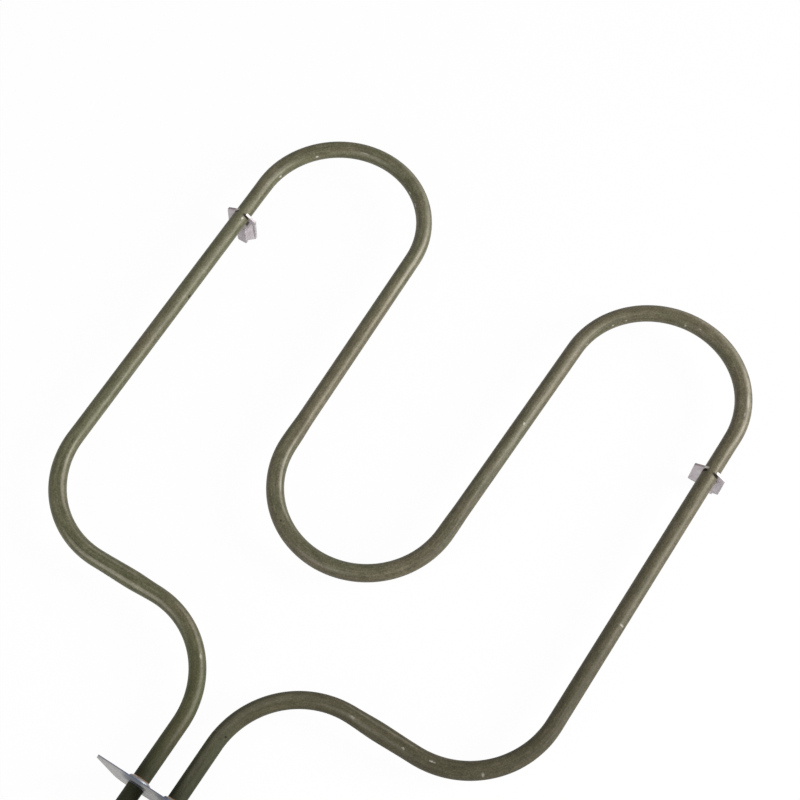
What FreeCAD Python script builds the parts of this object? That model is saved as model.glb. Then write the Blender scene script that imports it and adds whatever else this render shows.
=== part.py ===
"""Tubular oven heating element: a sheathed resistance rod bent to a W, its wall plate and two support clips.

Millimetres. +Y runs from the wall plate into the oven, +X to the right, +Z up. The rod's centreline lies in
the plane Z = 0, and the origin is the middle of the wall plate's seat, the face towards the terminals.
"""
import FreeCAD, Part
import math
import os

# Sheath tube
TUBE_OD = 8.0
TUBE_WALL = 0.7
LEAD_PITCH = 18.2
LEAD_BEHIND_SEAT = 22.0

# Bent path, left half, from the wall plate to the middle of the rod
LEAD_IN_OVEN = 31.4
BEND_RADIUS = 43.35
SHOULDER_RADIUS = 44.5
CROSS_RUN = 33.1
CROSS_TILT = 0.43
OUTER_LEG = 164.4
OUTER_SPLAY = 0.86
INNER_LEG = 115.3
INNER_LEAN = 1.64

# Bends pressed again in a die to pack the powder: wider and lower, with a flat above and below
PRESSED_WIDTH = 8.6
PRESSED_HEIGHT = 7.1
PRESSED_FLAT = 3.4
PRESS_RUN_IN = 3.0

# Inside the sheath
COIL_OD = 3.2
PIN_DIAMETER = 2.4
COLD_END_IN_OVEN = 24.0
SEAL_DEPTH = 5.0
SEAL_HEAD = 2.5
SEAL_HEAD_OD = 7.4
SEAL_HEAD_BEVEL = 0.8

# Blade terminals, each welded by its tail to a flat on the pin
PIN_BARE = 1.0
PIN_FLAT_LENGTH = 6.0
PIN_FLAT_RISE = 0.5
BLADE_WIDTH = 6.3
BLADE_THICKNESS = 0.8
BLADE_LENGTH = 8.0
BLADE_TAIL_WIDTH = 4.4
BLADE_NOSE = 1.2
BLADE_HOLE = 1.7

# Wall plate, with a drawn collar round each lead
PLATE_THICKNESS = 1.5
PLATE_HEIGHT = 25.4
PLATE_TOP_WIDTH = 55.2
PLATE_BOTTOM_WIDTH = 43.0
PLATE_CORNER = 5.0
COLLAR_HEIGHT = 2.0
COLLAR_WALL = 1.4
COLLAR_ROOT = 0.9
COLLAR_LIP = 0.4
COLLAR_MOUTH = 0.8
BRAZE_LEG = 0.5

# Support clips: a sheet gripping the tube between two horns, its tongue folded under the tube and down
CLIP_STATION = 263.1
CLIP_SHEET = 1.2
CLIP_WIDTH = 16.35
CLIP_SHIFT = -0.5
CLIP_SIDE_LEAN = 0.8
CLIP_FOOT_DROP = 17.25
CLIP_SHOULDER_DROP = 0.55
CLIP_CORNER = 0.8
CLIP_HORN_ANGLE = 47.0
TONGUE_LEFT_EDGE = -1.05
TONGUE_RIGHT_EDGE = 4.3
TONGUE_GAP = {"left": 3.3, "right": 0.2}

# The sheet's flank, bent forward beside the tongue when that was folded
FLANK_OUTER_EDGE = 6.4
FLANK_OVERLAP = 0.6
FLANK_DEPTH = 1.7
FLANK_FOOT_RISE = {"left": 2.6, "right": 0.9}
FLANK_TOP_DROP = 2.5

# Worked out from the sizes above
TUBE_RADIUS = TUBE_OD / 2
BORE_DIAMETER = TUBE_OD - 2 * TUBE_WALL
PIN_RADIUS = PIN_DIAMETER / 2
SHEATH_END = -LEAD_BEHIND_SEAT
SEAL_INNER_END = SHEATH_END + SEAL_DEPTH
SEAL_OUTER_END = SHEATH_END - SEAL_HEAD
PIN_FLAT_START = SEAL_OUTER_END - PIN_BARE
PIN_END = PIN_FLAT_START - PIN_FLAT_LENGTH
COLD_END = PLATE_THICKNESS + COLD_END_IN_OVEN
COLLAR_TOP = PLATE_THICKNESS + COLLAR_HEIGHT
LEAD_X = {"left": -LEAD_PITCH / 2, "right": LEAD_PITCH / 2}

ORIGIN = FreeCAD.Vector(0, 0, 0)
X = FreeCAD.Vector(1, 0, 0)
Y = FreeCAD.Vector(0, 1, 0)
Z = FreeCAD.Vector(0, 0, 1)

# The left half of the rod's path: each step is a run, a bend or a taper to another section,
# its length or radius, its turn in degrees (to the left is positive), and the section that it ends with.
TO_SHOULDER = [
    ("bend", BEND_RADIUS, 90 + CROSS_TILT, "round"),
    ("taper", PRESS_RUN_IN, 0, "pressed"),
    ("run", CROSS_RUN - PRESS_RUN_IN, 0, "pressed"),
    ("bend", SHOULDER_RADIUS, -(90 + CROSS_TILT - OUTER_SPLAY), "pressed"),
]
TO_FRONT = [
    ("taper", PRESS_RUN_IN, 0, "round"),
    ("run", OUTER_LEG - 2 * PRESS_RUN_IN, 0, "round"),
    ("taper", PRESS_RUN_IN, 0, "pressed"),
    ("bend", BEND_RADIUS, -(180 + OUTER_SPLAY - INNER_LEAN), "pressed"),
]
TO_MIDDLE = [
    ("taper", PRESS_RUN_IN, 0, "round"),
    ("run", INNER_LEG - 2 * PRESS_RUN_IN, 0, "round"),
    ("taper", PRESS_RUN_IN, 0, "pressed"),
]


def advance(here, step):
    """The placement after a step; its +Y points along the rod, and its origin is on the centreline."""
    kind, size, turn, form = step
    if kind != "bend":
        return here.multiply(FreeCAD.Placement(Y * size, FreeCAD.Rotation()))
    centre = X * math.copysign(size, -turn)
    return here.multiply(FreeCAD.Placement(ORIGIN, FreeCAD.Rotation(Z, turn), centre))


def rod_start(y):
    return FreeCAD.Placement(FreeCAD.Vector(LEAD_X["left"], y, 0), FreeCAD.Rotation())


def rod_steps(y):
    """Every step from y on the left lead to the plane X = 0; the middle bend closes the path there."""
    steps = [("run", PLATE_THICKNESS + LEAD_IN_OVEN - y, 0, "round")] + TO_SHOULDER + TO_FRONT + TO_MIDDLE
    here = rod_start(y)
    for step in steps:
        here = advance(here, step)
    middle_radius = -here.Base.x / math.cos(math.radians(INNER_LEAN))
    return steps + [("bend", middle_radius, 90 - INNER_LEAN, "pressed")]


def arc(start, middle, end):
    return Part.Arc(FreeCAD.Vector(*start), FreeCAD.Vector(*middle), FreeCAD.Vector(*end)).toShape()


def line(start, end):
    return Part.makeLine(FreeCAD.Vector(*start), FreeCAD.Vector(*end))


def round_section(diameter):
    """Circle across the rod, in four arcs that meet above the edges of the pressed flats."""
    radius = diameter / 2
    x = PRESSED_FLAT / 2
    z = math.sqrt(radius ** 2 - x ** 2)
    return Part.Wire([
        arc((x, 0, -z), (radius, 0, 0), (x, 0, z)), arc((x, 0, z), (0, 0, radius), (-x, 0, z)),
        arc((-x, 0, z), (-radius, 0, 0), (-x, 0, -z)), arc((-x, 0, -z), (0, 0, -radius), (x, 0, -z))])


def pressed_section(width, height):
    """Section of a pressed bend: rounded sides, flat above and below."""
    x = PRESSED_FLAT / 2
    z = height / 2
    return Part.Wire([
        arc((x, 0, -z), (width / 2, 0, 0), (x, 0, z)), line((x, 0, z), (-x, 0, z)),
        arc((-x, 0, z), (-width / 2, 0, 0), (-x, 0, -z)), line((-x, 0, -z), (x, 0, -z))])


def placed(shape, placement):
    copy = shape.copy()
    copy.Placement = placement.multiply(shape.Placement)
    return copy


def stretch(here, step, before, after):
    """The solid that a section makes over one step of the path."""
    kind, size, turn, form = step
    start = Part.Face(placed(before, here))
    if kind == "bend":
        centre = here.multVec(X * math.copysign(size, -turn))
        return start.revolve(centre, Z * math.copysign(1, turn), abs(turn))
    if kind == "run":
        return start.extrude(here.Rotation.multVec(Y) * size)
    return Part.makeLoft([placed(before, here), placed(after, advance(here, step))], True, True)


def rod(y, sections):
    """A solid along the whole path between the two leads' planes Y = y."""
    here = rod_start(y)
    before = "round"
    half = []
    for step in rod_steps(y):
        half.append(stretch(here, step, sections[before], sections[step[3]]))
        here = advance(here, step)
        before = step[3]
    other_half = [solid.mirror(ORIGIN, X) for solid in half]
    return half[0].multiFuse(half[1:] + other_half).removeSplitter()


def cylinder(radius, side, y0, y1):
    return Part.makeCylinder(radius, y1 - y0, FreeCAD.Vector(LEAD_X[side], y0, 0), Y)


def turned(side, edges):
    """Solid of revolution round a lead; the edges close an outline of radius (X) and station (Y)."""
    solid = Part.Face(Part.Wire(edges)).revolve(ORIGIN, Y, 360)
    solid.translate(X * LEAD_X[side])
    return solid


def polygon(points):
    return Part.makePolygon([FreeCAD.Vector(*p) for p in points + points[:1]])


OUTSIDE = {"round": round_section(TUBE_OD), "pressed": pressed_section(PRESSED_WIDTH, PRESSED_HEIGHT)}
BORE = {"round": round_section(BORE_DIAMETER),
        "pressed": pressed_section(PRESSED_WIDTH - 2 * TUBE_WALL, PRESSED_HEIGHT - 2 * TUBE_WALL)}
COIL_WIRE = Part.Wire([Part.makeCircle(COIL_OD / 2, ORIGIN, Y)])
COIL = {"round": COIL_WIRE, "pressed": COIL_WIRE}


def sheath():
    return rod(SHEATH_END, OUTSIDE).cut(rod(SHEATH_END, BORE))


def resistance_coil():
    """The coil's plain envelope, from one pin's inner end to the other's."""
    return rod(COLD_END, COIL)


def magnesia_insulation():
    pins = [cylinder(PIN_RADIUS, side, SEAL_INNER_END, COLD_END) for side in LEAD_X]
    return rod(SEAL_INNER_END, BORE).cut([resistance_coil()] + pins)


def terminal_pin(side):
    """Round pin from the coil to the terminal, with a flat milled on its outer end."""
    pin = cylinder(PIN_RADIUS, side, PIN_END, COLD_END)
    corner = FreeCAD.Vector(LEAD_X[side] - PIN_RADIUS, PIN_END, PIN_FLAT_RISE)
    return pin.cut(Part.makeBox(PIN_DIAMETER, PIN_FLAT_LENGTH, PIN_RADIUS, corner))


def end_seal(side):
    """Bush pushed into the sheath's end, with a bevelled head that covers the rim."""
    head = cylinder(SEAL_HEAD_OD / 2, side, SEAL_OUTER_END, SHEATH_END)
    rim = [edge for edge in head.Edges if abs(edge.BoundBox.YMax - SEAL_OUTER_END) < 0.01]
    head = head.makeChamfer(SEAL_HEAD_BEVEL, rim)
    plug = cylinder(BORE_DIAMETER / 2, side, SHEATH_END, SEAL_INNER_END)
    return head.fuse(plug).cut(cylinder(PIN_RADIUS, side, SEAL_OUTER_END, SEAL_INNER_END)).removeSplitter()


def spade_terminal(side):
    """Flat blade with a bevelled nose and a locking hole, and the tail that is welded to the pin."""
    half = BLADE_WIDTH / 2
    tail = BLADE_TAIL_WIDTH / 2
    shoulder = PIN_END - (half - tail)
    nose = PIN_END - BLADE_LENGTH
    blade = Part.Face(polygon([
        (-tail, PIN_FLAT_START, 0), (-tail, PIN_END, 0), (-half, shoulder, 0), (-half, nose + BLADE_NOSE, 0),
        (-half + BLADE_NOSE, nose, 0), (half - BLADE_NOSE, nose, 0), (half, nose + BLADE_NOSE, 0),
        (half, shoulder, 0), (tail, PIN_END, 0), (tail, PIN_FLAT_START, 0)]))
    blade = blade.extrude(Z * BLADE_THICKNESS)
    hole = FreeCAD.Vector(0, (shoulder + nose) / 2, 0)
    blade = blade.cut(Part.makeCylinder(BLADE_HOLE / 2, BLADE_THICKNESS, hole, Z))
    blade.translate(FreeCAD.Vector(LEAD_X[side], 0, PIN_FLAT_RISE))
    return blade


def collar(side):
    """Drawn neck round a lead, with a hollow root on the oven face and a bevelled lip."""
    r = TUBE_RADIUS
    outer = r + COLLAR_WALL
    root = outer + COLLAR_ROOT
    foot = PLATE_THICKNESS
    neck = foot + COLLAR_ROOT
    nip = COLLAR_ROOT * (1 - math.sqrt(0.5))
    return turned(side, [
        line((r, 0, 0), (root, 0, 0)),
        line((root, 0, 0), (root, foot, 0)),
        arc((root, foot, 0), (outer + nip, foot + nip, 0), (outer, neck, 0)),
        line((outer, neck, 0), (outer, COLLAR_TOP - COLLAR_LIP, 0)),
        line((outer, COLLAR_TOP - COLLAR_LIP, 0), (outer - COLLAR_LIP, COLLAR_TOP, 0)),
        line((outer - COLLAR_LIP, COLLAR_TOP, 0), (r, COLLAR_TOP, 0)),
        line((r, COLLAR_TOP, 0), (r, 0, 0))])


def collar_mouth(side):
    """The flared entry that drawing leaves in the seat, as the solid to take away."""
    r = TUBE_RADIUS
    return turned(side, [
        line((0, 0, 0), (r + COLLAR_MOUTH, 0, 0)),
        line((r + COLLAR_MOUTH, 0, 0), (r, COLLAR_MOUTH, 0)),
        line((r, COLLAR_MOUTH, 0), (0, COLLAR_MOUTH, 0)),
        line((0, COLLAR_MOUTH, 0), (0, 0, 0))])


def wall_plate():
    """Tapered sheet with rounded lower corners and a drawn collar round each lead."""
    top = PLATE_HEIGHT / 2
    blank = Part.Face(polygon([
        (-PLATE_BOTTOM_WIDTH / 2, 0, -top), (PLATE_BOTTOM_WIDTH / 2, 0, -top),
        (PLATE_TOP_WIDTH / 2, 0, top), (-PLATE_TOP_WIDTH / 2, 0, top)])).extrude(Y * PLATE_THICKNESS)
    lower = [edge for edge in blank.Edges
             if abs(edge.BoundBox.ZMin + top) < 0.01 and edge.BoundBox.XLength < 0.01]
    plate = blank.makeFillet(PLATE_CORNER, lower).fuse([collar(side) for side in LEAD_X])
    leads = [cylinder(TUBE_RADIUS, side, 0, COLLAR_TOP) for side in LEAD_X]
    return plate.cut(leads + [collar_mouth(side) for side in LEAD_X]).removeSplitter()


def braze_ring(side):
    """Fillet of brazing metal between the collar's lip and the tube."""
    r = TUBE_RADIUS
    return turned(side, [
        line((r, COLLAR_TOP, 0), (r + BRAZE_LEG, COLLAR_TOP, 0)),
        line((r + BRAZE_LEG, COLLAR_TOP, 0), (r, COLLAR_TOP + BRAZE_LEG, 0)),
        line((r, COLLAR_TOP + BRAZE_LEG, 0), (r, COLLAR_TOP, 0))])


def outer_leg():
    """Placement at the start of the left outer leg, just past the shoulder bend."""
    here = rod_start(0)
    for step in [("run", PLATE_THICKNESS + LEAD_IN_OVEN, 0, "round")] + TO_SHOULDER:
        here = advance(here, step)
    return here


def clip_back():
    """The sheet across the tube: feet below, shoulders sloping up to horns that close over the tube."""
    left = CLIP_SHIFT - CLIP_WIDTH / 2
    right = CLIP_SHIFT + CLIP_WIDTH / 2
    horn = math.radians(CLIP_HORN_ANGLE)
    tip = FreeCAD.Vector(TUBE_RADIUS * math.cos(horn), 0, TUBE_RADIUS * math.sin(horn))
    other_tip = FreeCAD.Vector(-tip.x, 0, tip.z)
    corners = [
        other_tip, FreeCAD.Vector(left, 0, -CLIP_SHOULDER_DROP),
        FreeCAD.Vector(left - CLIP_SIDE_LEAN, 0, -CLIP_FOOT_DROP),
        FreeCAD.Vector(right - CLIP_SIDE_LEAN, 0, -CLIP_FOOT_DROP),
        FreeCAD.Vector(right, 0, -CLIP_SHOULDER_DROP), tip]
    edges = [Part.makeLine(a, b) for a, b in zip(corners, corners[1:])]
    edges.append(Part.Arc(tip, FreeCAD.Vector(0, 0, -TUBE_RADIUS), other_tip).toShape())
    sheet = Part.Face(Part.Wire(edges)).extrude(Y * CLIP_SHEET)
    sheet.translate(Y * (-CLIP_SHEET / 2))
    outer_corners = [edge for edge in sheet.Edges
                     if edge.BoundBox.YLength > CLIP_SHEET / 2 and abs(edge.BoundBox.XMin) > TUBE_OD * 0.75]
    return sheet.makeFillet(CLIP_CORNER, outer_corners)


def clip_tongue(gap):
    """The strip that passes under the tube, touching it, and folds down in front of the sheet."""
    inner = -CLIP_SHEET / 2 - gap
    outer = inner - CLIP_SHEET
    seat = -TUBE_RADIUS
    under = seat - CLIP_SHEET
    strip = Part.Face(polygon([
        (TONGUE_LEFT_EDGE, -CLIP_SHEET / 2, seat), (TONGUE_LEFT_EDGE, outer, seat),
        (TONGUE_LEFT_EDGE, outer, -CLIP_FOOT_DROP), (TONGUE_LEFT_EDGE, inner, -CLIP_FOOT_DROP),
        (TONGUE_LEFT_EDGE, inner, under), (TONGUE_LEFT_EDGE, -CLIP_SHEET / 2, under)]))
    strip = strip.extrude(X * (TONGUE_RIGHT_EDGE - TONGUE_LEFT_EDGE))
    fold = [edge for edge in strip.Edges
            if edge.BoundBox.YMax < outer + 0.01 and edge.BoundBox.ZMin > seat - 0.01]
    strip = strip.makeFillet(CLIP_SHEET, fold)
    toes = [edge for edge in strip.Edges
            if edge.BoundBox.YLength > CLIP_SHEET / 2 and edge.BoundBox.ZMax < -CLIP_FOOT_DROP + 0.01]
    return strip.makeFillet(CLIP_CORNER, toes)


def clip_flank(gap, foot_rise):
    """The part of the sheet beside the tongue, bent forward to it; the sheet keeps its thickness there."""
    front = -CLIP_SHEET / 2
    inner = front - gap - FLANK_OVERLAP * CLIP_SHEET
    a = TONGUE_RIGHT_EDGE
    b = FLANK_OUTER_EDGE
    foot = -CLIP_FOOT_DROP
    fold = -TUBE_RADIUS - CLIP_SHEET
    top = -FLANK_TOP_DROP
    raised = foot + foot_rise
    flank = Part.Solid(Part.Shell([
        Part.Face(polygon([(b, front, foot), (a, inner, raised), (a, inner, fold), (b, front, top)])),
        Part.Face(polygon([(b, front, foot), (a, front, raised), (a, front, top), (b, front, top)])),
        Part.Face(polygon([(a, inner, raised), (a, front, raised), (a, front, top), (a, inner, fold)])),
        Part.Face(polygon([(b, front, foot), (a, inner, raised), (a, front, raised)])),
        Part.Face(polygon([(b, front, top), (a, inner, fold), (a, front, top)]))]))
    behind = flank.copy()
    behind.translate(Y * FLANK_DEPTH)
    return flank.cut(behind)


def support_clip(side):
    """A clip on its outer leg, square to the tube; both have the tongue towards the wall plate."""
    gap = TONGUE_GAP[side]
    clip = clip_back().fuse([clip_tongue(gap), clip_flank(gap, FLANK_FOOT_RISE[side])]).removeSplitter()
    here = outer_leg()
    heading = math.radians(OUTER_SPLAY)
    along = (CLIP_STATION - here.Base.y) / math.cos(heading)
    x = here.Base.x - along * math.sin(heading)
    turn = OUTER_SPLAY
    if side == "right":
        x = -x
        turn = -turn
    return placed(clip, FreeCAD.Placement(FreeCAD.Vector(x, CLIP_STATION, 0), FreeCAD.Rotation(Z, turn)))


parts = {
    "sheath": sheath(),
    "magnesia_insulation": magnesia_insulation(),
    "resistance_coil": resistance_coil(),
    "wall_plate": wall_plate(),
}
for side in LEAD_X:
    parts["terminal_pin_" + side] = terminal_pin(side)
    parts["end_seal_" + side] = end_seal(side)
    parts["spade_terminal_" + side] = spade_terminal(side)
    parts["braze_ring_" + side] = braze_ring(side)
    parts["support_clip_" + side] = support_clip(side)

os.makedirs("parts", exist_ok=True)
for name, shape in parts.items():
    shape.exportStep("parts/" + name + ".step")
    state = "valid" if shape.isValid() else "not valid"
    print(name, len(shape.Solids), "solid", state, "volume", round(shape.Volume, 1))
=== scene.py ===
"""Dressing of a tubular oven element: its drawn tube, finishes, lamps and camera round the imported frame."""
import math
import bpy
from mathutils import Matrix, Vector


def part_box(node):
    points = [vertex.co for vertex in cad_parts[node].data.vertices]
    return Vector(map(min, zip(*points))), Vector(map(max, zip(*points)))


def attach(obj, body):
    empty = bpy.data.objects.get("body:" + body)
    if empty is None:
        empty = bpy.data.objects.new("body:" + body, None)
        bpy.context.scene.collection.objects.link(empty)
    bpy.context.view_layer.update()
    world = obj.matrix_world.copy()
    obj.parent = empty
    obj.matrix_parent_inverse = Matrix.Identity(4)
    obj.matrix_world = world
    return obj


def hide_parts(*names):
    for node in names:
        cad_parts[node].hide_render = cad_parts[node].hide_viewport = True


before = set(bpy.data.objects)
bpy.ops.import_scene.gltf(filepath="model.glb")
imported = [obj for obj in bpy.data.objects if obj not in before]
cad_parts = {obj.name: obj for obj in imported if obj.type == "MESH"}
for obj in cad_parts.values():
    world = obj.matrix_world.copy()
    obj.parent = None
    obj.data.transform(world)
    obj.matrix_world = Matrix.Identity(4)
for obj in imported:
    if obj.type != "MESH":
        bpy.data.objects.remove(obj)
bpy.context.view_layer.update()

bpy.ops.object.select_all(action="DESELECT")

# Sheath. The outer tube is drawn nickel-chrome steel, 8 mm across, packed with magnesia round its coil and
# bent cold to a W; the bends were pressed again in a die, which left them wider and lower than the runs.
# Its olive skin is the oxide left by annealing, darker towards the leads, with the plate's shadow painted
# onto the leads past it.
tube_radius = 0.004
tube_wall = 0.0007
lead_x = 0.0091
lead_end = -0.022
lead_run = 0.0549
bend_radius = 0.04335
cross_run = 0.0331
shoulder_radius = 0.0445
outer_leg = 0.1644
inner_leg = 0.1153
# the legs and cross runs aren't quite square: these are in degrees
cross_tilt = 0.43
outer_splay = 0.86
inner_lean = 1.64
# half the way: a length and no turn for a run, a radius and a turn to the left for a bend
route_half = [
    (lead_run, 0.0), (bend_radius, 90.0 + cross_tilt),
    (cross_run, 0.0), (shoulder_radius, outer_splay - cross_tilt - 90.0),
    (outer_leg, 0.0), (bend_radius, inner_lean - outer_splay - 180.0),
    (inner_leg, 0.0)]
end_handle = 0.01
bender = Vector((-lead_x, lead_end, 0.0))
heading = math.pi / 2
knots = [bender.copy()]
headings = [heading]
reaches = []
tube_length = 0.0


def go(size, turn):
    """Takes the bender along one run or bend; a bend is made of arcs of 45 degrees or less."""
    global bender, heading, tube_length
    parts = max(1, math.ceil(abs(turn) / 45.0))
    for _ in range(parts):
        step = math.radians(turn) / parts
        if turn:
            side = math.copysign(1.0, turn)
            centre = bender + size * side * Vector((-math.sin(heading), math.cos(heading), 0.0))
            bender = centre - size * side * Vector((-math.sin(heading + step), math.cos(heading + step), 0.0))
            heading += step
            # a handle of this length makes the curve follow the arc
            reaches.append(4.0 / 3.0 * math.tan(abs(step) / 4.0) * size)
            tube_length += abs(step) * size
        else:
            bender = bender + size * Vector((math.cos(heading), math.sin(heading), 0.0))
            reaches.append(size / 3.0)
            tube_length += size
        knots.append(bender.copy())
        headings.append(heading)


for size, turn in route_half:
    go(size, turn)
# the middle bend joins the inner legs, so its radius follows from where the left one ends
go(-bender.x / math.cos(math.radians(inner_lean)), 180.0 - 2.0 * inner_lean)
for size, turn in reversed(route_half):
    go(size, turn)

bpy.ops.curve.primitive_bezier_curve_add(location=(0.0, 0.0, 0.0))
route = bpy.context.object
route.name = "bending_route"
route.data.dimensions = "2D"
route.data.resolution_u = 40
bend_points = route.data.splines[0].bezier_points
bend_points.add(len(knots) - 2)
for index, knot in enumerate(knots):
    along = Vector((math.cos(headings[index]), math.sin(headings[index]), 0.0))
    point = bend_points[index]
    point.handle_left_type = "FREE"
    point.handle_right_type = "FREE"
    point.co = knot
    point.handle_left = knot - along * (reaches[index - 1] if index else end_handle)
    point.handle_right = knot + along * (reaches[index] if index < len(reaches) else end_handle)

# smoothing draws each ring in by this share, so the rings start out wider
ring_count = 24
ring_shrink = (2.0 + math.cos(2.0 * math.pi / ring_count)) / 3.0
bpy.ops.mesh.primitive_cylinder_add(
    vertices=ring_count, radius=tube_radius / ring_shrink, depth=tube_length, end_fill_type="NOTHING",
    location=(tube_length / 2.0, 0.0, 0.0), rotation=(0.0, math.pi / 2.0, 0.0))
tube = bpy.context.object
tube.name = "drawn_tube"
bpy.ops.object.transform_apply(location=True, rotation=True, scale=True)
# two rounds of cuts make 18 x 25 bands along the tube; only the edges that run along it are cut
bpy.context.tool_settings.mesh_select_mode = (False, True, False)
for cuts in (17, 24):
    tube.data.vertices.foreach_set("select", [False] * len(tube.data.vertices))
    tube.data.polygons.foreach_set("select", [False] * len(tube.data.polygons))
    for edge in tube.data.edges:
        ends = [tube.data.vertices[i].co for i in edge.vertices]
        edge.select = abs(ends[0].x - ends[1].x) > 0.001
    bpy.ops.object.mode_set(mode="EDIT")
    bpy.ops.mesh.subdivide(number_cuts=cuts)
    bpy.ops.mesh.select_all(action="DESELECT")
    bpy.ops.object.mode_set(mode="OBJECT")
bpy.context.tool_settings.mesh_select_mode = (True, False, False)


def pick(wanted):
    """Selects the tube's points that the test wants, with the tube in edit mode."""
    bpy.ops.object.mode_set(mode="OBJECT")
    tube.data.vertices.foreach_set("select", [wanted(vertex.co) for vertex in tube.data.vertices])
    tube.data.edges.foreach_set("select", [False] * len(tube.data.edges))
    tube.data.polygons.foreach_set("select", [False] * len(tube.data.polygons))
    bpy.ops.object.mode_set(mode="EDIT")


# the flats lie this far from the middle, and what stood past them keeps a quarter of its height
flat_height = 0.00345
squash = 0.25
bites = 6


def press(start, end, fade_in, fade_out, widen):
    """Widens and flattens a stretch in nested bites, so that it fades in and out as the die's mark does."""
    for bite in range(bites):
        first = start + fade_in * bite / bites
        last = end - fade_out * bite / bites
        pick(lambda co: first < co.x < last)
        bpy.ops.transform.resize(value=(1.0, widen ** (1.0 / bites), 1.0))
        for side in (1.0, -1.0):
            pick(lambda co: first < co.x < last and co.z * side > flat_height)
            bpy.ops.transform.resize(
                value=(1.0, 1.0, squash ** (1.0 / bites)), center_override=(0.0, 0.0, flat_height * side))


# From the first bend's far end through the shoulder, then the far loop and the middle bend: start, end, fade
# in and fade out in metres along the tube, and how much wider. A row that ends before the middle is repeated
# on the right half.
for start, end, fade_in, fade_out, widen in (
        (0.116, 0.228, 0.022, 0.030, 1.075), (0.126, 0.150, 0.010, 0.012, 1.060),
        (0.384, 0.500, 0.020, 0.060, 1.060),
        (0.628, 0.780, 0.014, 0.030, 1.060), (0.628, 0.660, 0.008, 0.020, 1.050)):
    press(start, end, fade_in, fade_out, widen)
    if end < tube_length / 2.0:
        press(tube_length - end, tube_length - start, fade_out, fade_in, widen)

# each end is turned in to the bore, and closed behind the seal
end_reach = 1e-5
cap_depth = 0.0052
bore_share = 1.0 - tube_wall / tube_radius
cap_share = 0.4
for end_x, inward in ((0.0, 1.0), (tube_length, -1.0)):
    pick(lambda co: abs(co.x - end_x) < end_reach)
    bpy.ops.mesh.extrude_region_move()
    bpy.ops.transform.resize(value=(1.0, bore_share, bore_share))
    bpy.ops.mesh.extrude_region_move(TRANSFORM_OT_translate={"value": (inward * cap_depth, 0.0, 0.0)})
    bpy.ops.mesh.extrude_region_move()
    bpy.ops.transform.resize(value=(1.0, cap_share, cap_share))
    bpy.ops.mesh.merge(type="CENTER")
bpy.ops.mesh.select_all(action="SELECT")
bpy.ops.mesh.normals_make_consistent(inside=False)
bpy.ops.mesh.select_all(action="DESELECT")
bpy.ops.object.mode_set(mode="OBJECT")
smooth = tube.modifiers.new("smooth", "SUBSURF")
smooth.levels = 1
smooth.render_levels = 1
bpy.ops.object.modifier_apply(modifier="smooth")
# the finish follows the tube as it was before bending, so that drawing lines run along it
unbent = tube.data.attributes.new("straight", "FLOAT_VECTOR", "POINT")
unbent.data.foreach_set("vector", [number for vertex in tube.data.vertices for number in vertex.co])
bending = tube.modifiers.new("bending", "CURVE")
bending.object = route
bending.deform_axis = "POS_X"
bpy.ops.object.modifier_apply(modifier="bending")
bpy.ops.object.shade_smooth()
bpy.data.objects.remove(route)


class Finish:
    """One output of a material's nodes. Arithmetic on it adds Math nodes, and add() adds any other node."""

    def __init__(self, tree, socket=None):
        self.tree = tree
        self.socket = socket

    def add(self, kind, settings=None, sockets=None, output=0):
        """Adds a node, with its settings set first, then its sockets given values or links."""
        node = self.tree.nodes.new(kind)
        for name, value in (settings or {}).items():
            if name == "stops":
                elements = node.color_ramp.elements
                while len(elements) < len(value):
                    elements.new(1.0)
                for stop, (at, colour) in zip(elements, value):
                    stop.position = at
                    stop.color = (*colour, 1.0)
            else:
                setattr(node, name, value)
        for name, value in (sockets or {}).items():
            if isinstance(value, Finish):
                self.tree.links.new(value.socket, node.inputs[name])
            else:
                node.inputs[name].default_value = value
        return Finish(self.tree, node.outputs[output] if len(node.outputs) else None)

    def maths(self, operation, first, second):
        """Adds a Math node on two numbers or finishes."""
        return self.add("ShaderNodeMath", {"operation": operation}, {0: first, 1: second})

    def __add__(self, other):
        return self.maths("ADD", self, other)

    def __radd__(self, other):
        return self.maths("ADD", other, self)

    def __sub__(self, other):
        return self.maths("SUBTRACT", self, other)

    def __rsub__(self, other):
        return self.maths("SUBTRACT", other, self)

    def __mul__(self, other):
        return self.maths("MULTIPLY", self, other)

    def __rmul__(self, other):
        return self.maths("MULTIPLY", other, self)

    def __truediv__(self, other):
        return self.maths("DIVIDE", self, other)

    def __abs__(self):
        return self.maths("ABSOLUTE", self, 0.0)


def new_finish(name):
    """Makes an empty material, and gives it back with the start of its nodes."""
    material = bpy.data.materials.new(name)
    material.use_nodes = True
    material.node_tree.nodes.clear()
    return material, Finish(material.node_tree)


def wear(material, *nodes):
    """Gives a finish to every slot of some CAD nodes."""
    for node in nodes:
        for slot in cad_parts[node].material_slots:
            slot.material = material


def own_place(coat):
    """The place of each point in the piece's own metres."""
    return coat.add("ShaderNodeTexCoord", output="Object")


def coordinate(vector, axis):
    """One number of a place or a direction: 0 is to the right, 1 into the oven, 2 up."""
    return vector.add("ShaderNodeSeparateXYZ", {}, {0: vector}, axis)


def stretched(place, x, y, z):
    """Scales a place on each axis; a pattern on it is drawn out along the axis that is scaled least."""
    return place.add("ShaderNodeVectorMath", {"operation": "MULTIPLY"}, {0: place, 1: (x, y, z)})


def noise(place, scale, detail):
    """A random pattern from 0 to 1, finer with the scale and rougher with the detail."""
    return place.add("ShaderNodeTexNoise", {}, {"Vector": place, "Scale": scale, "Detail": detail})


def fade(value, start, end, first, last):
    """Carries a value from one span to another, smoothly and no further than the ends."""
    return value.add("ShaderNodeMapRange", {"interpolation_type": "SMOOTHSTEP"},
                     {"Value": value, "From Min": start, "From Max": end, "To Min": first, "To Max": last})


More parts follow.
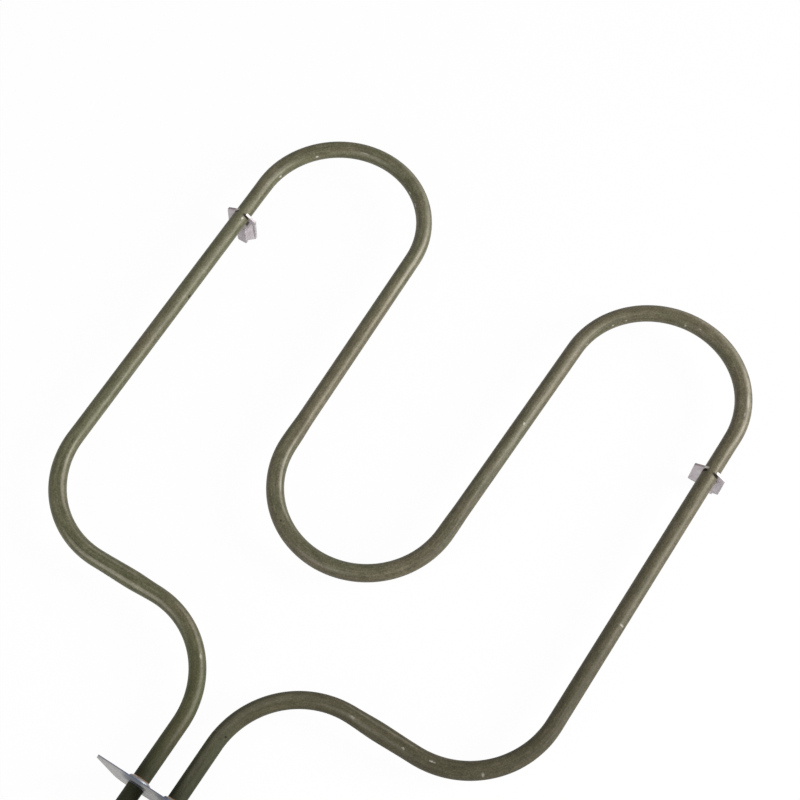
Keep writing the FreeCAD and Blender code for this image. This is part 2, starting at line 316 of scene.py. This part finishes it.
def ramp(value, stops):
    """Runs a value from 0 to 1 through colour stops, each a position and a colour."""
    return value.add("ShaderNodeValToRGB", {"stops": stops}, {0: value})


def tint(amount, first, second):
    """Mixes two colours; each is a colour or another finish."""
    first = first if isinstance(first, Finish) else (*first, 1.0)
    second = second if isinstance(second, Finish) else (*second, 1.0)
    return amount.add("ShaderNodeMix", {"data_type": "RGBA"}, {0: amount, 6: first, 7: second}, 2)


def shade(amount, colour):
    """Darkens a colour by a number or by another colour."""
    return amount.add("ShaderNodeMix", {"data_type": "RGBA", "blend_type": "MULTIPLY"},
                      {0: 1.0, 6: colour, 7: amount}, 2)


def coated(coat, colour, roughness, metallic, specular, height, relief):
    """Closes a finish with one principled surface; the height is in the unit of relief, in metres."""
    bump = coat.add("ShaderNodeBump", {}, {"Strength": 1.0, "Distance": relief, "Height": height})
    surface = coat.add("ShaderNodeBsdfPrincipled", {}, {
        "Base Color": colour, "Roughness": roughness, "Metallic": metallic, "Specular IOR Level": specular,
        "Normal": bump})
    coat.add("ShaderNodeOutputMaterial", {}, {"Surface": surface})


oxide, coat = new_finish("annealed_oxide")
straight = coat.add("ShaderNodeAttribute", {"attribute_name": "straight"}, output="Vector")
way = coordinate(straight, 0) / tube_length
drawn = noise(stretched(straight, 45.0, 1500.0, 1500.0), 1.0, 3.0)
mottle = noise(stretched(straight, 180.0, 380.0, 380.0), 1.0, 6.0)
cloud = noise(stretched(straight, 30.0, 90.0, 90.0), 1.0, 3.0)
grain = noise(straight, 2600.0, 3.0)
speckle = noise(straight, 1300.0, 4.0)
skin = (drawn - 0.5) * 0.5 + (mottle - 0.5) * 0.45 + (speckle - 0.5) * 0.7 + (grain - 0.5) * 0.3 + 0.5
olive = ramp(skin, [
    (0.15, (0.042, 0.041, 0.022)), (0.5, (0.115, 0.111, 0.063)), (0.9, (0.240, 0.229, 0.158))])
umber = ramp(skin, [
    (0.15, (0.046, 0.041, 0.024)), (0.5, (0.128, 0.113, 0.069)), (0.9, (0.264, 0.230, 0.162))])
# olive and umber lie in clouds: the left half is greener and the right half browner, apart from its lead
warm = ramp(way, [(at, (share, share, share)) for at, share in (
    (0.0, 0.3), (0.33, 0.2), (0.39, 0.65), (0.62, 0.65), (0.70, 1.0), (0.90, 0.8), (1.0, 0.4))])
colour = tint(fade(cloud + (warm - 0.5) * 0.35, 0.38, 0.62, 0.0, 1.0), olive, umber)
# the skin darkens and greens towards the leads, and is darker round the right shoulder than the left;
# on the leads past the plate it is painted near black, as the plate's painted shadow
lead_tone_and_plate_shadow = ramp(way, [
    (0.014, (0.16, 0.17, 0.12)), (0.045, (0.51, 0.55, 0.41)), (0.090, (0.84, 0.85, 0.81)),
    (0.330, (0.95, 0.95, 0.95)), (0.560, (0.75, 0.75, 0.75)), (0.700, (0.85, 0.85, 0.85)),
    (0.850, (0.49, 0.49, 0.46)), (0.940, (0.50, 0.51, 0.45)), (0.986, (0.18, 0.20, 0.14))])
colour = shade(lead_tone_and_plate_shadow, colour)
millimetre = 0.001


def wear_and_light_marks(rows, ragged):
    """Gathers oval marks of wear and of painted light and shade: metres along the tube, degrees round it,
    length and width in mm, strength.
    """
    gathered = 0.0
    for along, round_it, length, width, strength in rows:
        angle = math.radians(round_it)
        spot = (along, tube_radius * math.cos(angle), tube_radius * math.sin(angle))
        away = coat.add("ShaderNodeVectorMath", {"operation": "SUBTRACT"}, {0: straight, 1: spot})
        away = stretched(away, *(2.0 / (size * millimetre) for size in (length, width, width)))
        reach = coat.add("ShaderNodeVectorMath", {"operation": "LENGTH"}, {0: away}, "Value")
        gathered = coat.maths("MAXIMUM", gathered, fade(reach + ragged, 0.5, 1.3, strength, 0.0))
    return gathered


# Pale and dark streaks along the tube, most of them on the pressed stretches: the pale ones are painted
# highlights along the ridges of the pressed bends, and the dark ones painted shade that dulls the highlight
# where the modelled section is rounder than the real one. Most of their places, and those of the nicks and
# spots below, were measured in the photograph.
painted_highlight_streaks = wear_and_light_marks((
    (0.9920, 60, 95, 2.6, 0.22), (1.0000, 61, 34, 1.5, 0.40), (0.5130, 55, 100, 2.4, 0.20),
    (0.5160, 55, 34, 1.4, 0.34), (0.3350, 112, 150, 2.2, 0.07), (0.3958, 119, 26, 1.6, 0.22),
    (0.1390, 52, 84, 1.9, 0.22), (0.6602, 51, 60, 1.6, 0.26), (0.2015, 133, 44, 1.9, 0.26),
    (0.0930, 125, 44, 1.9, 0.20), (1.2834, 66, 48, 2.0, 0.10), (0.8570, 108, 100, 2.4, 0.10),
    (1.2775, 122, 52, 1.2, 0.12), (0.4534, 128, 24, 1.4, 0.10), (0.7122, 120, 30, 1.4, 0.12),
    (0.0760, 125, 60, 2.2, 0.08), (0.1560, 122, 56, 1.2, 0.12), (1.3420, 95, 96, 3.2, 0.06)),
    (drawn - 0.5) * 1.6)
painted_shade_streaks = wear_and_light_marks((
    (0.7844, 132, 80, 2.4, 0.5), (1.1853, 54, 80, 2.0, 0.4), (0.9184, 136, 40, 2.2, 0.5),
    (0.7607, 71, 70, 1.8, 0.3), (0.6359, 38, 24, 1.4, 0.4), (1.0377, 50, 18, 1.0, 0.3),
    (0.1500, 72, 50, 1.0, 0.5)), (drawn - 0.5) * 1.2)
# nicks down to bright metal, and small scorched spots; the three bright spots beside the clips' horns are
# painted glints, and the widest dark ones, under the horns, are the horns' painted shadows on the tube
nicks_and_glints = wear_and_light_marks((
    (1.2511, 89, 3.5, 1.0, 1.0), (1.0066, 64, 7.0, 1.2, 0.5), (0.6651, 46, 9.0, 0.7, 0.5),
    (1.2909, 69, 3.0, 1.2, 0.3), (0.4226, 157, 2.0, 1.0, 0.9), (0.4849, 154, 2.0, 0.7, 0.9),
    (0.3983, 160, 2.0, 1.0, 0.8), (0.4935, 148, 3.0, 0.7, 0.7), (1.2649, 75, 1.5, 1.0, 0.8),
    (1.1354, 53, 1.0, 2.4, 0.45), (0.9527, 152, 1.5, 1.0, 0.7), (0.4492, 125, 5.0, 0.8, 0.35),
    (1.2291, 45, 1.2, 2.2, 0.35), (0.0854, 120, 2.5, 1.0, 0.5), (0.8406, 111, 1.5, 1.0, 0.6),
    (1.0134, 75, 2.5, 1.0, 0.4), (0.9129, 155, 1.5, 0.7, 0.6), (0.9605, 125, 1.5, 0.7, 0.4),
    (0.9206, 153, 1.0, 0.7, 0.5), (0.8947, 156, 1.5, 0.5, 0.5), (0.3661, 125, 1.5, 1.1, 0.7),
    (0.3694, 56, 1.4, 1.2, 1.0), (1.0466, 124, 1.4, 1.4, 1.0)), (grain - 0.5) * 2.0)
scorch_and_horn_shadows = wear_and_light_marks((
    (0.6834, 102, 1.6, 1.1, 0.9), (0.3163, 164, 2.0, 1.6, 0.8), (1.3553, 47, 1.1, 1.1, 0.9),
    (0.6795, 112, 1.0, 0.8, 0.7), (0.3682, 142, 1.7, 4.6, 1.0), (0.3685, 46, 1.5, 3.6, 1.0),
    (1.0482, 44, 1.8, 4.8, 1.0), (1.0481, 140, 1.7, 3.8, 1.0)), (grain - 0.5) * 1.2)
# painted shade from the dark streaks, painted highlights from the pale ones, the horns' painted shadows and
# glints, and the real nicks and spots all go into the colour here
colour = shade(1.0 - painted_shade_streaks * 0.5, colour)
colour = tint(painted_highlight_streaks * (mottle * 0.9 + speckle * 0.9 + 0.1), colour, (0.54, 0.49, 0.40))
colour = tint(scorch_and_horn_shadows, colour, (0.012, 0.008, 0.006))
colour = tint(nicks_and_glints, colour, (0.50, 0.48, 0.42))
roughness = 0.318 + speckle * 0.12 + drawn * 0.05 + (1.0 - lead_tone_and_plate_shadow) * 0.35 + scorch_and_horn_shadows * 0.6 + painted_shade_streaks * 0.15
coated(coat, colour, roughness, 0.1, 0.22, drawn * 0.4 + mottle * 0.4 + speckle * 0.3, 0.000012)
tube.data.materials.append(oxide)
wear(oxide, "sheath")
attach(tube, "root")
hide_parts("sheath")

# Insulation. White magnesium oxide powder fills the tube round the coil, packed hard by drawing and pressing.
# Nothing of it shows on a whole element; the two silicone bushes hide its ends.
powder, coat = new_finish("packed_magnesia")
place = own_place(coat)
lumps = noise(place, 700.0, 5.0)
dust = noise(place, 4200.0, 2.0)
colour = tint(lumps * 0.7 + dust * 0.3, (0.62, 0.61, 0.57), (0.86, 0.85, 0.82))
coated(coat, colour, 0.8 + lumps * 0.15, 0.0, 0.3, lumps * 0.7 + dust * 0.3, 0.0001)
wear(powder, "magnesia_insulation")

# Resistance coil. Nickel-chrome wire wound to a close helix, shown as its plain envelope, 3.2 mm across.
# It joins the two pins inside the tube and never touches the sheath.
wire, coat = new_finish("resistance_wire")
place = own_place(coat)
film = noise(place, 500.0, 4.0)
turns = noise(place, 3000.0, 3.0)
colour = tint(film, (0.16, 0.15, 0.14), (0.42, 0.40, 0.37))
coated(coat, colour, 0.3 + turns * 0.25, 1.0, 0.5, turns, 0.00004)
wear(wire, "resistance_coil")

# Terminal pins. Nickel-plated steel wire, 2.4 mm across, from the coil out through each bush.
# A flat is milled on the outer end, and the blade is welded to it.
pin_plating, coat = new_finish("pin_plating")
place = own_place(coat)
film = noise(place, 420.0, 5.0)
lines = noise(stretched(place, 2600.0, 90.0, 2600.0), 1.0, 3.0)
colour = tint(film * 0.7 + lines * 0.3, (0.24, 0.23, 0.21), (0.56, 0.54, 0.50))
coated(coat, colour, 0.2 + film * 0.15 + lines * 0.15, 1.0, 0.5, lines, 0.00001)
wear(pin_plating, "terminal_pin_left", "terminal_pin_right")

# End seals. Moulded silicone bushes pushed into the tube's ends, each with a bevelled head over the rim.
# They keep damp out of the powder; the cream rubber is dull and picks up a little dust.
silicone, coat = new_finish("silicone_bush")
place = own_place(coat)
dust = noise(place, 900.0, 6.0)
pits = noise(place, 5200.0, 2.0)
colour = tint(dust, (0.52, 0.47, 0.40), (0.72, 0.68, 0.61))
coated(coat, colour, 0.5 + dust * 0.25, 0.0, 0.4, dust * 0.5 + pits * 0.5, 0.00003)
wear(silicone, "end_seal_left", "end_seal_right")

# Blade terminals. Stamped nickel-plated steel, 0.8 mm thick, welded by the tail to the pin's flat.
# The weld tinted the tail, and the blade carries the long marks of a receptacle pushed on and off.
blade_plating, coat = new_finish("blade_plating")
place = own_place(coat)
film = noise(place, 300.0, 5.0)
rubs = noise(stretched(place, 2200.0, 60.0, 900.0), 1.0, 3.0)
colour = tint((film - 0.5) * 1.4 + (rubs - 0.5) * 1.2 + 0.5, (0.26, 0.25, 0.22), (0.58, 0.56, 0.51))
weld_start = -0.0305
weld_end = -0.0275
weld = fade(coordinate(place, 1) + (film - 0.5) * 0.002, weld_start, weld_end, 0.0, 0.7)
colour = tint(weld, colour, (0.24, 0.18, 0.12))
coated(coat, colour, 0.24 + film * 0.16 + rubs * 0.16, 1.0, 0.5, rubs, 0.00001)
wear(blade_plating, "spade_terminal_left", "spade_terminal_right")

# Wall plate. Cold-rolled steel sheet, 1.5 mm thick, with a collar drawn up round each lead and brazed to it.
# The brazing heat left it bluish round the collars and along the sheared upper edge, and straw-brown below;
# round the collars its seat side is painted darker still, as painted shade.
plate_thickness = 0.0015
plate_top = 0.0127
straw_height = 0.0032
rim_height = 0.0005
plate_steel, coat = new_finish("rolled_sheet")
place = own_place(coat)
outward = abs(coordinate(place, 0))
depth = coordinate(place, 1)
height = coordinate(place, 2)
beside = abs(outward - lead_x)
film = noise(place, 260.0, 6.0)
rolled = noise(stretched(place, 120.0, 1800.0, 1800.0), 1.0, 3.0)
grit = noise(place, 3600.0, 2.0)
steel = tint(film * 0.6 + rolled * 0.4, (0.24, 0.235, 0.225), (0.40, 0.39, 0.375))
facing = coat.add("ShaderNodeNewGeometry", output="Normal")
# on the seat side the blued zone is painted darker than on top, as painted shade
seat_side_shade = fade(coordinate(facing, 1), -0.9, -0.4, 1.0, 0.0)
blued_with_seat_shade = tint(seat_side_shade, (0.15, 0.16, 0.18), (0.055, 0.064, 0.088))
heat = fade(beside + (film - 0.5) * 0.003, 0.0035, 0.0072, 0.9, 0.0) * fade(height, 0.001, 0.007, 0.0, 1.0)
colour = tint(heat, steel, blued_with_seat_shade)
colour = shade(fade(outward, 0.0095, 0.0125, 0.72, 1.0), colour)
collar = tint(film, (0.15, 0.16, 0.18), (0.36, 0.37, 0.38))
colour = tint(fade(depth, plate_thickness + 0.00002, plate_thickness + 0.0004, 0.0, 1.0), colour, collar)
straw = fade(height + (film - 0.5) * 0.004, -plate_top, straw_height - plate_top, 0.6, 0.0)
colour = tint(straw, colour, (0.30, 0.22, 0.16))
rim = fade(height, plate_top - rim_height, plate_top, 0.0, 1.0) * fade(depth, 0.0008, 0.0012, 0.0, 0.85)
colour = tint(rim, colour, (0.09, 0.10, 0.15))
coated(coat, colour, 0.32 + film * 0.2 + grit * 0.1, 0.7, 0.4,
       rolled * 0.4 + film * 0.4 + grit * 0.3, 0.00002)
wear(plate_steel, "wall_plate")

# Braze rings. A thin fillet of copper brazing metal runs round each lead where it leaves its collar.
# It is dull orange-brown from the furnace, with a bright bead where it flowed.
braze_metal, coat = new_finish("braze_metal")
place = own_place(coat)
film = noise(place, 800.0, 4.0)
beads = noise(place, 2400.0, 2.0)
colour = tint(film * 0.6 + beads * 0.4, (0.20, 0.09, 0.05), (0.62, 0.36, 0.20))
coated(coat, colour, 0.25 + film * 0.2, 0.9, 0.5, beads, 0.00008)
wear(braze_metal, "braze_ring_left", "braze_ring_right")

# Support clips. Each is one sheet of bright steel that grips the tube between two horns and stands on its
# feet; a tongue, folded under the tube, keeps it square. The sheared edges are clean, the faces dull.
clip_x = 0.13285
clip_y = 0.2631
left_tip_shift = 0.001
clip_steel, coat = new_finish("clip_sheet")
place = own_place(coat)
film = noise(place, 420.0, 6.0)
spots = noise(place, 1500.0, 3.0)
colour = tint((film - 0.5) * 1.6 + (spots - 0.5) * 0.8 + 0.5, (0.39, 0.35, 0.368), (0.62, 0.57, 0.592))
facing = coat.add("ShaderNodeNewGeometry", output="Normal")
sideways = coordinate(facing, 0)
across = coordinate(place, 0)
upright = coordinate(place, 2)
# the faces turned to the right are painted a little darker and those turned to the left dark reddish-brown,
# both as painted shade; both horns end in bare metal, which starts a little higher on the left one and is
# partly a painted highlight on their tops
colour = shade(fade(sideways, 0.45, 0.95, 1.0, 0.86), colour)
colour = tint(fade(sideways, -0.6, -0.25, 0.8, 0.0), colour, (0.22, 0.17, 0.17))
left_horn = fade(across - coat.maths("SIGN", across, 0.0) * clip_x, -0.003, -0.001, 1.0, 0.0)
bare_metal_and_glint = fade(upright - left_horn * left_tip_shift, 0.0008, 0.0022, 0.0, 0.9)
colour = tint(bare_metal_and_glint, colour, (0.72, 0.68, 0.64))
coated(coat, colour, 0.55 + film * 0.2, 0.4, 0.3, film * 0.5 + spots * 0.5, 0.00002)
wear(clip_steel, "support_clip_left", "support_clip_right")

# Floor. The element rests on its plate's lower edge and on its two clips' feet, so the floor is tilted to
# meet them. It is white paper, which to the lens is very nearly as bright as the room.
floor_gap = 0.0001
paper_glow = 0.97
plate_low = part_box("wall_plate")[0]
foot_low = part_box("support_clip_left")[0]
bpy.ops.mesh.primitive_plane_add(size=8.0, location=(0, 0, 0))
floor = bpy.context.object
floor.name = "floor"
floor.rotation_euler = (math.atan((foot_low.z - plate_low.z) / clip_y), 0, 0)
floor.location = (0, 0, plate_low.z - floor_gap)
paper, coat = new_finish("white_paper")


def seen_white(finish):
    """One for rays from the lens, and for reflected and transmitted ones; zero for the rest."""
    lens = finish.add("ShaderNodeLightPath", output="Is Camera Ray")
    gloss = finish.add("ShaderNodeLightPath", output="Is Glossy Ray")
    through = finish.add("ShaderNodeLightPath", output="Is Transmission Ray")
    return finish.maths("MAXIMUM", finish.maths("MAXIMUM", lens, gloss), through)


matt = coat.add("ShaderNodeBsdfDiffuse", {}, {"Color": (0.85, 0.85, 0.85, 1.0)})
glow = coat.add("ShaderNodeEmission", {}, {"Color": (1.0, 1.0, 1.0, 1.0), "Strength": 1.0})
mixed = coat.add("ShaderNodeMixShader", {}, {0: seen_white(coat) * paper_glow, 1: matt, 2: glow})
coat.add("ShaderNodeOutputMaterial", {}, {"Surface": mixed})
floor.data.materials.append(paper)

# Room. White all round for the lens and for reflections, and a low even light for everything else.
world = bpy.data.worlds.new("studio")
world.use_nodes = True
world.node_tree.nodes.clear()
air = Finish(world.node_tree)
fill = 0.12
room = air.add("ShaderNodeBackground", {}, {
    "Color": tint(seen_white(air), (fill, fill, fill), (1.0, 1.0, 1.0)), "Strength": 1.0})
air.add("ShaderNodeOutputWorld", {}, {"Surface": room})
bpy.context.scene.world = world


# Lamps. A softbox to the right, a little behind, gives each run its one bright band, and a weaker one from
# the front reaches the plate and the clips' faces.
def softbox(name, towards, distance, size, energy):
    """Hangs a square lamp some way off in one direction, turned to the element."""
    element_middle = Vector((0.0, 0.15, 0.0))
    towards = Vector(towards).normalized()
    bpy.ops.object.light_add(type="AREA", location=element_middle + distance * towards)
    lamp = bpy.context.object
    lamp.name = name
    lamp.data.shape = "SQUARE"
    lamp.data.size = size
    lamp.data.energy = energy
    lamp.rotation_euler = towards.to_track_quat("Z", "Y").to_euler()


softbox("softbox_right", (0.81, 0.35, 0.47), 1.3, 0.6, 23.0)
softbox("softbox_front", (-0.235, -0.77, 0.6), 1.3, 0.8, 9.0)

# Camera. The photograph was taken from above the terminals, to their right, looking down along the bends.
# The view is turned a little about its own axis too.
view_turn = math.radians(32.441)
view_rise = math.radians(64.536)
view_roll = math.radians(-0.37)
view_distance = 0.83573
view_middle = Vector((-0.010757, 0.217693, 0.0))
towards_lens = Vector((math.sin(view_turn) * math.cos(view_rise),
                       -math.cos(view_turn) * math.cos(view_rise), math.sin(view_rise)))
level_right = Vector((math.cos(view_turn), math.sin(view_turn), 0.0))
level_up = towards_lens.cross(level_right)
lens_right = math.cos(view_roll) * level_right + math.sin(view_roll) * level_up
lens_up = towards_lens.cross(lens_right)
bpy.ops.object.camera_add()
camera = bpy.context.object
camera.name = "camera"
camera.matrix_world = (Matrix.Translation(view_middle + view_distance * towards_lens)
                       @ Matrix((lens_right, lens_up, towards_lens)).transposed().to_4x4())
camera.data.sensor_width = 36.0
camera.data.lens = 78.683
camera.data.clip_start = 0.01
camera.data.clip_end = 20.0
bpy.context.scene.camera = camera

# tones are shown as they are
bpy.context.scene.view_settings.view_transform = "Standard"
